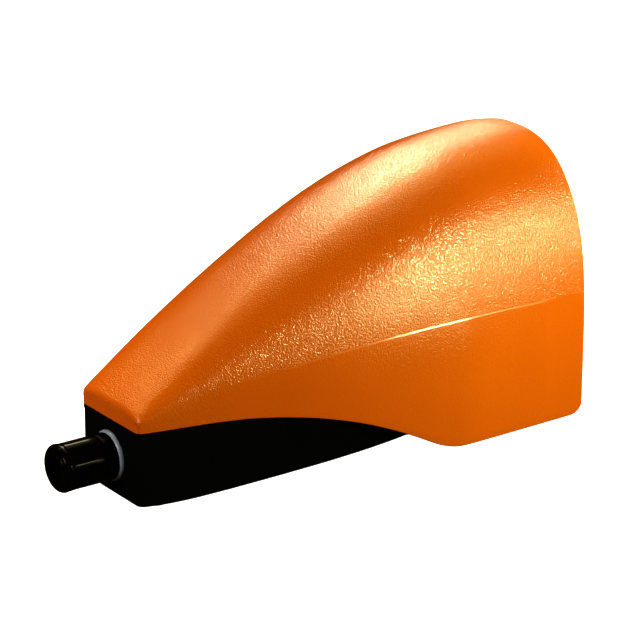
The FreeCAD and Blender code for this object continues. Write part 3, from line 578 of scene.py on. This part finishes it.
def wound(x, s, r_mean, wire, z0, z1, turns, seg=20, r_top=None):
    """Compression spring with closed end coils, axis along Z."""
    h = z1 - z0 - 2 * wire
    total = int(turns * 40)
    verts, faces = [], []

    def height(u):
        # the first and last three quarters of a turn lie flat
        e = 0.75 / turns
        if u < e:
            return 0.06 * (u / e) * h * e
        if u > 1 - e:
            return h - 0.06 * ((1 - u) / e) * h * e
        a, b = 0.06 * h * e, h - 0.06 * h * e
        w = (u - e) / (1 - 2 * e)
        return a + (b - a) * (w + 0.0)

    def radius(u):
        # the last turns close in a little, so that they clear the tilting pocket
        if r_top is None:
            return r_mean
        w = min(1.0, max(0.0, (u - 0.58) / 0.24))
        return r_mean + (r_top - r_mean) * w * w * (3 - 2 * w)

    for i in range(total + 1):
        u = i / total
        th = 2 * math.pi * turns * u
        r = radius(u)
        c = Vector((x + r * math.cos(th), REAR_Y - s + r * math.sin(th), z0 + wire + height(u)))
        du = 1.0 / total
        th2 = 2 * math.pi * turns * (u + du)
        c2 = Vector((x + r * math.cos(th2), REAR_Y - s + r * math.sin(th2), z0 + wire + height(min(1.0, u + du))))
        tan = (c2 - c).normalized()
        rad = Vector((math.cos(th), math.sin(th), 0))
        rad = (rad - tan * rad.dot(tan)).normalized()
        bi = tan.cross(rad)
        for k in range(seg):
            a = 2 * math.pi * k / seg
            q = c + rad * (wire * math.cos(a)) + bi * (wire * math.sin(a))
            verts.append((q.x * MM, q.y * MM, q.z * MM))
    for i in range(total):
        for k in range(seg):
            m2 = (k + 1) % seg
            faces.append((i * seg + k, i * seg + m2, (i + 1) * seg + m2, (i + 1) * seg + k))
    faces.append(tuple(range(seg)))
    faces.append(tuple(total * seg + k for k in range(seg)))
    return verts, faces


z_top = 56.6 - (168.0 - 60.0) / 176.0 * 6.0 - 3.6
for side, x in (("left", -28.0), ("right", 28.0)):
    v, f = wound(x, 168.0, 6.2, 0.85, 13.05, z_top, 7.0, r_top=5.0)
    ob = mesh_object("return_spring_" + side, v, f, MAT["spring_steel"], "frame", "return_springs", 50.0)
    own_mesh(ob)
v, f = wound(0.0, 78.0, 2.6, 0.35, 8.1, 18.95, 6.0, seg=12)
ob = mesh_object("contact_return_spring", v, f, MAT["spring_steel"], "frame", "contact_spring", 50.0)
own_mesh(ob)


# bosses and lugs inside the hood
def prism(name, pts, z0, z1, bev=0.35):
    """Vertical prism with a small chamfer, pts are (x, s) in order round the outline."""
    verts, faces = [], []
    cx = sum(p[0] for p in pts) / len(pts)
    cs = sum(p[1] for p in pts) / len(pts)

    def inset(p):
        d = math.hypot(p[0] - cx, p[1] - cs)
        q = max(0.0, d - bev) / d
        return (cx + (p[0] - cx) * q, cs + (p[1] - cs) * q)
    for (z, small) in ((z0, True), (z0 + bev, False), (z1 - bev, False), (z1, True)):
        for p in pts:
            q = inset(p) if small else p
            verts.append((q[0] * MM, (REAR_Y - q[1]) * MM, z * MM))
    n = len(pts)
    for k in range(3):
        for i in range(n):
            j = (i + 1) % n
            faces.append((k * n + i, k * n + j, (k + 1) * n + j, (k + 1) * n + i))
    faces.append(tuple(range(n)))
    faces.append(tuple(3 * n + i for i in range(n)))
    return mesh_object(name, verts, faces, MAT["hood"], "frame")


def tube_z(name, x, s, r0, r1, z0, z1, seg=64):
    verts, faces = [], []
    prof = [(z0, r0 + 0.25), (z0, r1 - 0.25), (z0 + 0.25, r1), (z1 - 0.5, r1), (z1, r1 - 0.5), (z1, r0 + 0.25), (z1 - 0.25, r0), (z0 + 0.25, r0)]
    n = len(prof)
    for i in range(seg):
        th = 2 * math.pi * i / seg
        for (z, r) in prof:
            verts.append(((x + r * math.cos(th)) * MM, (REAR_Y - s + r * math.sin(th)) * MM, z * MM))
    for i in range(seg):
        j = (i + 1) % seg
        for k in range(n):
            m2 = (k + 1) % n
            faces.append((i * n + k, i * n + m2, j * n + m2, j * n + k))
    return mesh_object(name, verts, faces, MAT["hood"], "frame")


for side, sx in (("left", -1), ("right", 1)):
    tube_z("hood_boss_" + side, sx * 53, 225, 1.75, 5.0, 6.8, 14.6)
    prism("hood_web_" + side, [(sx * 57.6, 223.2), (sx * 62.4, 223.2), (sx * 62.4, 226.8), (sx * 57.6, 226.8)], 6.8, 14.6)
    tube_z("hood_lug_" + side, sx * 43, 112, 2.2, 5.9, 38.2, 42.0)
    prism("hood_lug_foot_" + side, [(sx * 48.2, 106.3), (sx * 51.4, 106.3), (sx * 51.6, 117.7), (sx * 48.2, 117.7)], 38.2, 42.0)

# ------------------------------------------------------------------ camera
AZ, EL, DIST = math.radians(234.5), math.radians(20.5), 1.554
F_PX = 3000.0
back = Vector((math.sin(AZ) * math.cos(EL), -math.cos(AZ) * math.cos(EL), math.sin(EL)))
right = (-back).cross(Vector((0, 0, 1))).normalized()
up = right.cross(-back).normalized()
anchor = Vector((-0.026, 0.117, 0.0008))
pos = anchor + DIST * back - (138.0 - 320) / F_PX * DIST * right + (507.5 - 320) / F_PX * DIST * up
cam_data = bpy.data.cameras.new("camera")
cam_data.sensor_width = 36.0
cam_data.lens = F_PX / 640.0 * 36.0
cam_data.clip_start = 0.05
cam_data.clip_end = 50.0
cam = bpy.data.objects.new("camera", cam_data)
bpy.context.scene.collection.objects.link(cam)
rot = Matrix((right, up, back)).transposed()
cam.matrix_world = Matrix.Translation(pos) @ rot.to_4x4()
bpy.context.scene.camera = cam
bpy.context.scene.view_settings.view_transform = "Standard"
bpy.context.scene.view_settings.look = "High Contrast"

# ------------------------------------------------------------------ floor, lights, world
bm = bmesh.new()
bmesh.ops.create_grid(bm, x_segments=2, y_segments=2, size=12.0)
me = bpy.data.meshes.new("floor")
bm.to_mesh(me)
bm.free()
floor = bpy.data.objects.new("floor", me)
bpy.context.scene.collection.objects.link(floor)
m, nt, b = new_mat("floor_pale")
b.inputs["Base Color"].default_value = (0.6, 0.6, 0.6, 1)
b.inputs["Emission Color"].default_value = (1, 1, 1, 1)
b.inputs["Emission Strength"].default_value = 0.75
b.inputs["Roughness"].default_value = 0.9
b.inputs["Specular IOR Level"].default_value = 0.0
floor.data.materials.append(m)
floor.visible_diffuse = False
floor.visible_glossy = False

TARGET = Vector((0, -0.02, 0.08))


def area(name, az, el, dist, w, h, power, target=TARGET, spread=180.0, color=(1.0, 1.0, 1.0), aim=None):
    a, e = math.radians(az), math.radians(el)
    d = Vector((math.sin(a) * math.cos(e), -math.cos(a) * math.cos(e), math.sin(e)))
    ld = bpy.data.lights.new(name, "AREA")
    ld.shape = "RECTANGLE"
    ld.size, ld.size_y = w, h
    ld.energy = power
    ld.color = color
    ld.spread = math.radians(spread)
    ob = bpy.data.objects.new(name, ld)
    bpy.context.scene.collection.objects.link(ob)
    ob.visible_camera = False
    pos = target + d * dist
    look = pos - (target if aim is None else aim)
    ob.matrix_world = Matrix.Translation(pos) @ look.to_track_quat("Z", "Y").to_matrix().to_4x4()
    return ob


WARM = (1.0, 0.88, 0.62)
area("light_back", 63, 43, 0.95, 0.34, 0.14, 4.8, Vector((0.005, -0.02, 0.140)), color=WARM)
area("light_back_low", 50, 17, 0.95, 0.20, 0.26, 0.7, Vector((0.0, -0.10, 0.145)), color=WARM)
area("light_back_long", 84, 40, 0.95, 0.30, 0.10, 0.35, Vector((0.005, 0.02, 0.110)), color=WARM)
area("light_side", 299, 15, 0.85, 0.40, 0.050, 0.295, Vector((-0.052, -0.035, 0.105)), spread=38.0, color=(1.0, 0.95, 0.62),
     aim=Vector((-0.06, -0.145, 0.09)))
area("light_panel", 284, 4, 0.45, 0.16, 0.16, 0.56, Vector((-0.062, -0.135, 0.060)), color=(0.92, 1.0, 0.60))
area("light_rear", 118, 51, 0.95, 0.09, 0.09, 1.3, Vector((-0.01, 0.10, 0.060)), color=(1.0, 0.86, 0.46))
area("light_top", 50, 68, 2.0, 1.1, 1.1, 9.5, color=(1.0, 0.88, 0.48))
area("light_end", 188, 22, 0.60, 0.15, 0.12, 0.10, Vector((0.02, 0.125, 0.045)), spread=40.0, color=(1.0, 0.85, 0.70))

# a soft light from the front reaches the pedal inside the guard
area("light_mouth", 356, 14, 0.90, 0.30, 0.20, 0.6, Vector((0.0, -0.10, 0.055)), spread=50.0, color=(1.0, 0.96, 0.90))

world = bpy.data.worlds.new("studio")
bpy.context.scene.world = world
world.use_nodes = True
world.node_tree.nodes["Background"].inputs["Color"].default_value = (1.0, 0.70, 0.42, 1)
world.node_tree.nodes["Background"].inputs["Strength"].default_value = 0.06
